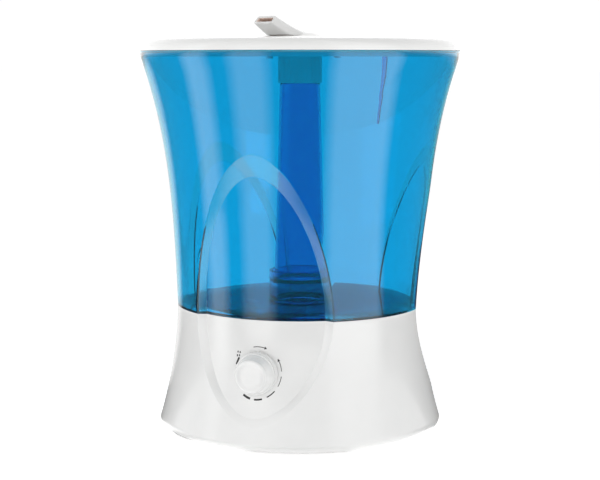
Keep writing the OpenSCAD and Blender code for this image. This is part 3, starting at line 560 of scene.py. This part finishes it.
bm = bmesh.new()
turned(bm, [(MIST_HOLE_R, TANK_Z0 + 2.2), (BOSS_R + 2, TANK_Z0 + 2.2), (BOSS_R, TANK_Z0 + 5)]
       + [(BOSS_R, BOSS_TOP - 0.6), (BOSS_R - 0.6, BOSS_TOP), (BOSS_BORE + 0.4, BOSS_TOP),
          (BOSS_BORE, BOSS_TOP - 0.4), (BOSS_BORE, TUBE_SEAT), (MIST_HOLE_R, TUBE_SEAT)],
       steps=96)
turned(bm, [(SPIGOT_R - 2.2, TANK_Z0 - 6.6), (SPIGOT_R - 1.8, TANK_Z0 - 7),
            (SPIGOT_R - 0.4, TANK_Z0 - 7), (SPIGOT_R, TANK_Z0 - 6.6), (SPIGOT_R, TANK_Z0 + 0.4),
            (SPIGOT_R - 2.2, TANK_Z0 + 0.4)], steps=128)
turned(bm, [(16, 96.6), (18.7, 96.6), (19, 97), (19, TANK_Z0 + 0.4), (16, TANK_Z0 + 0.4)],
       at=CAP, steps=64)
piece("tank_fittings", bm, blue_san, "tank")

# A rib that stiffens the wall, deepest under the rim.
RIB_LEN, RIB_TURN = 62, 71
bm = bmesh.new()
for v in bmesh.ops.create_cube(bm, size=1)["verts"]:
    z = FLARE_TOP if v.co.z > 0 else FLARE_TOP - RIB_LEN
    deep = 9 if v.co.z > 0 else 2.5
    r = body_r(z) - TANK_WALL * 0.6 - (deep if v.co.x < 0 else 0)
    v.co = Vector((r, v.co.y * (1.8 if v.co.z > 0 else 1.4), z)) * MM
upright = [e for e in bm.edges if abs(e.verts[0].co.z - e.verts[1].co.z) > 10 * MM]
bmesh.ops.subdivide_edges(bm, edges=upright, cuts=12, use_grid_fill=True)
for v in bm.verts:
    if v.co.x / MM > body_r(v.co.z / MM) - 2.2:
        v.co.x = (body_r(v.co.z / MM) - TANK_WALL * 0.6) * MM
bmesh.ops.rotate(bm, verts=bm.verts, cent=(0, 0, 0),
                 matrix=Matrix.Rotation(math.radians(RIB_TURN), 3, "Z"))
bmesh.ops.recalc_face_normals(bm, faces=bm.faces)
piece("tank_rib", bm, deep_san, "tank")

# ---- Mist tube ----
# A tapered clear tube of a deeper blue SAN, pressed into the tank's socket. It
# carries the mist up to the spout.
bm = bmesh.new()
outside = [(TUBE_FOOT_R, TUBE_SEAT + 0.2), (TUBE_FOOT_R, BOSS_TOP)]
for i in range(1, 17):
    s = i / 16
    outside.append((TUBE_FOOT_R + (TUBE_TOP_R + 0.7 - TUBE_FOOT_R) * s ** 0.85,
                    BOSS_TOP + (TUBE_SHOULDER - BOSS_TOP) * s))
outside += [(TUBE_TOP_R, TUBE_SHOULDER + 1), (TUBE_TOP_R, TUBE_TOP)]
inside = [(r - TUBE_WALL, z) for r, z in reversed(outside)]
turned(bm, outside + inside, steps=96)
piece("mist_tube_clear", bm, deep_san, "tank", ["mist_tube"])

# ---- Lid ----
# A glossy white ABS dish, pressed over the tank rim, with a drum in its middle
# for the spout and a skirt inside the rim.
LID_R, LID_Z0, CROWN_Z, NOZZLE_R = 140, 331.5, 343.4, 28
DRUM_Z0, SKIRT_R, LID_WALL = 325.5, 136.9, 2.4
SHOULDER_R, SHOULDER_Z, LID_ROUND = 131.5, 340.4, 8.5
LID_HOLE_R, LIP_Z, SCREW_DIST, SCREW_POST_Z = 28.3, 330.6, 34.5, 325.4

bm = bmesh.new()
top = [(LID_HOLE_R, CROWN_Z - 0.4), (LID_HOLE_R + 0.4, CROWN_Z)]
top += [(SHOULDER_R * s, CROWN_Z - 3 * s * s) for s in (0.28, 0.4, 0.52, 0.64, 0.76, 0.88, 0.96)]
top += fillet(SHOULDER_R, SHOULDER_Z - LID_ROUND, LID_ROUND, 88, 6, 12)
top += [(LID_R, LIP_Z + 0.4), (LID_R - 0.2, LIP_Z), (LID_R - 0.9, LIP_Z), (LID_R - 0.9, LID_Z0),
        (LID_R - 2.6, LID_Z0)]
under = fillet(SHOULDER_R, SHOULDER_Z - LID_ROUND, LID_ROUND - LID_WALL, 12, 88, 6)
under += [(SHOULDER_R * s, CROWN_Z - LID_WALL - 3 * s * s) for s in (0.88, 0.64, 0.4)]
under += [(LID_HOLE_R, CROWN_Z - LID_WALL)]
turned(bm, top + under, steps=192)
turned(bm, [(SKIRT_R, DRUM_Z0), (SKIRT_R - 2, DRUM_Z0),
            (SKIRT_R - 4, SHOULDER_Z - LID_WALL + 0.5),
            (SKIRT_R, SHOULDER_Z - LID_WALL - 0.5)], steps=192)
turned(bm, [(NOZZLE_R + 4, DRUM_Z0), (NOZZLE_R + 2, DRUM_Z0), (NOZZLE_R + 2, DRUM_Z0 + 3.4),
            (LID_HOLE_R, DRUM_Z0 + 3.4), (LID_HOLE_R, CROWN_Z - LID_WALL),
            (NOZZLE_R + 4, CROWN_Z - LID_WALL)], steps=96)
screw_places = [(SCREW_DIST * math.cos(math.radians(a)), SCREW_DIST * math.sin(math.radians(a)))
                for a in (0, 120, 240)]
for at in screw_places:
    turned(bm, [(1.5, SCREW_POST_Z), (3.8, SCREW_POST_Z), (3.8, CROWN_Z - LID_WALL),
                (1.5, CROWN_Z - LID_WALL)], at=at, steps=24)
piece("lid_dish", bm, white_abs, "lid", ["lid_cover"], crease=24)

# ---- Nozzle collar ----
# White ABS flange, screwed under the lid, whose fluted sleeve slips over the
# mist tube.
COLLAR_Z0, COLLAR_UNDER, COLLAR_TOP, FLUTES = 303, 322, 325.2, 24
bm = bmesh.new()
turned(bm, [(17.4, COLLAR_TOP), (31.3, COLLAR_TOP), (31.3, COLLAR_UNDER),
            (20.5, COLLAR_UNDER), (18.9, COLLAR_UNDER - 1.6), (18.9, COLLAR_Z0 + 0.4),
            (18.5, COLLAR_Z0), (17.4, COLLAR_Z0)], steps=96)
for i in range(FLUTES):
    a = 2 * math.pi * (i + 0.5) / FLUTES
    made = bmesh.ops.create_cube(bm, size=1)["verts"]
    for v in made:
        v.co = Vector((18.8 + v.co.x * 0.7, v.co.y * 1.1, 311.6 + v.co.z * 16.5)) * MM
    bmesh.ops.rotate(bm, verts=made, cent=(0, 0, 0), matrix=Matrix.Rotation(a, 3, "Z"))
for at in screw_places:
    turned(bm, [(1.5, COLLAR_UNDER), (4, COLLAR_UNDER), (4, COLLAR_TOP - 0.1),
                (1.5, COLLAR_TOP - 0.1)], at=at, steps=32)
piece("nozzle_collar_sleeve", bm, satin_abs, "lid", ["nozzle_collar"])

# ---- Nozzle ----
# A glossy white ABS dome with a flat duckbill spout, held in the lid by the
# collar, so that it turns by hand. Its throat has a warmer, matter white.
SPOUT_DEG, MOUTH_TILT, NOZZLE_BORE_R, NOZZLE_WALL = -116, 44, 26.3, 1.7
spout_turn = Matrix.Rotation(math.radians(SPOUT_DEG), 4, "Z")
bm = bmesh.new()
dome = [(NOZZLE_R * s, CROWN_Z - 2 + 6.9 * (1 - s * s)) for s in [i / 12 for i in range(12)]]
dome_in = [(NOZZLE_BORE_R * s, CROWN_Z - 3 + 5.9 * (1 - s * s))
           for s in [i / 8 for i in range(8, -1, -1)]]
flange = [(NOZZLE_R, CROWN_Z - 1.9), (NOZZLE_R, 329), (NOZZLE_R + 1.6, 328.5),
          (NOZZLE_R + 1.6, 325.8), (NOZZLE_BORE_R, 325.8)]
turned(bm, dome + flange + dome_in, closed=False, steps=96)
bmesh.ops.transform(bm, matrix=spout_turn, verts=bm.verts)
piece("spout_dome", bm, white_abs, "nozzle", ["nozzle_hood"])

bm = bmesh.new()
MOUTH, MOUTH_HALF_W, MOUTH_HALF_H = Vector((42.5, 0, 356.9)), 11, 4.3
tilt = math.radians(MOUTH_TILT)
down_lip = Vector((math.sin(tilt), 0, -math.cos(tilt))) * MOUTH_HALF_H
grid = bmesh.ops.create_grid(bm, x_segments=64, y_segments=14, size=0.5)
for v in grid["verts"]:
    a, s = 2 * math.pi * (v.co.x + 0.5), v.co.y + 0.5
    power = 0.55 - 0.3 * s
    u = math.copysign(abs(math.cos(a)) ** power, math.cos(a))
    w = math.copysign(abs(math.sin(a)) ** power, math.sin(a))
    tuck = w * w * (1.4 * (1 - u) + 1 - abs(u))
    root = Vector((17 + u * 13, w * 15, CROWN_Z + 2.7 - 2.2 * u - tuck))
    mouth = MOUTH + down_lip * u + Vector((0, w * MOUTH_HALF_W, 0))
    bow = math.sin(math.pi * s) * 0.8 * (1 - u) / 2
    v.co = (root.lerp(mouth, s) - Vector((0, 0, bow))) * MM
bmesh.ops.remove_doubles(bm, verts=bm.verts, dist=1e-6)
bmesh.ops.recalc_face_normals(bm, faces=bm.faces)
probe = max(bm.faces, key=lambda f: f.calc_center_median().y)
if probe.normal.y < 0:
    bmesh.ops.reverse_faces(bm, faces=bm.faces)
bmesh.ops.transform(bm, matrix=spout_turn, verts=bm.verts)
throat = moulded("warm white ABS throat", "#F8E6DC", "#F2DCD0", 12, 0.5, 0.02)
spout = piece("duckbill_spout", bm, white_abs, "nozzle", crease=40)
spout.data.materials.append(throat)
wall(spout, NOZZLE_WALL)
spout.modifiers["wall"].material_offset = 1

# ---- Working parts inside ----
# The electronics, fan, float, cap and valve keep the frame's shapes, each
# with the finish of the real one.
rubber = moulded("dark moulded rubber", "#2E2F31", "#232426", 1.2, 0.7, 0.05)
zinc = moulded("zinc plated steel", "#C9CBCE", "#B4B7BB", 0.8, 0.3, 0.01, metallic=1.0)
board_green = moulded("green solder mask", "#1E6A3A", "#17552E", 1.6, 0.35, 0.03, coat=0.4)
parts_dark = moulded("moulded epoxy parts", "#3A3A3C", "#26262A", 2.5, 0.55, 0.03)
extruded = moulded("extruded aluminium", "#C4C7CA", "#AEB2B6", 0.5, 0.34, 0.01, metallic=1.0,
                   stretch=(1, 1, 0.05))
silvered = moulded("silvered ceramic", "#D8D4C6", "#C6C1B2", 0.6, 0.32, 0.01, metallic=0.8)
black_pbt = moulded("black glass-filled PBT", "#1A1A1C", "#111113", 0.9, 0.5, 0.03)
foam = moulded("closed-cell foam", "#DDA93A", "#C9942B", 0.6, 0.8, 0.12)
ferrite = moulded("sintered ferrite", "#37373A", "#2A2A2C", 0.5, 0.6, 0.02)
reed = moulded("drawn reed glass", "#BFE0C8", "#AFD4BA", 4, 0.1, 0.0, coat=0.6)
cap_pp = moulded("pale blue polypropylene", "#D6EAF4", "#C9E0EC", 6, 0.34, 0.03)

for finish, nodes in (
    (satin_abs, ("bottom_cover", "air_duct", "float_retainer")),
    (rubber, ("rubber_feet", "cord_gland", "nebuliser_seal", "tube_seal", "cap_gasket",
              "valve_seal")),
    (zinc, ("cover_screws", "board_screws", "clamp_screws", "fan_screws", "control_shaft",
            "control_nut", "collar_screws")),
    (board_green, ("power_board", "control_board")),
    (parts_dark, ("power_parts", "control_parts", "dial_control")),
    (extruded, ("heat_sink", "nebuliser_clamp")),
    (silvered, ("nebuliser_disc",)),
    (black_pbt, ("fan_frame", "fan_rotor")),
    (foam, ("float_ring",)),
    (ferrite, ("float_magnet",)),
    (reed, ("reed_switch",)),
    (cap_pp, ("tank_cap", "valve_plunger")),
    (blue_san, ("tank_neck",)),
):
    for name in nodes:
        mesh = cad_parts[name].data
        mesh.materials.clear()
        mesh.materials.append(finish)

# ---- Valve spring ----
# Wound spring steel between the cap and the valve button. It is as long as the
# gap between them.
bm = bmesh.new()
bm.from_mesh(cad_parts["valve_spring"].data)
bmesh.ops.remove_doubles(bm, verts=bm.verts, dist=1e-7)
mesh = bpy.data.meshes.new("wound_spring")
bm.to_mesh(mesh)
bm.free()
mesh.materials.append(zinc)
spring = link("wound_spring", mesh)
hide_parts("valve_spring")
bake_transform(spring)
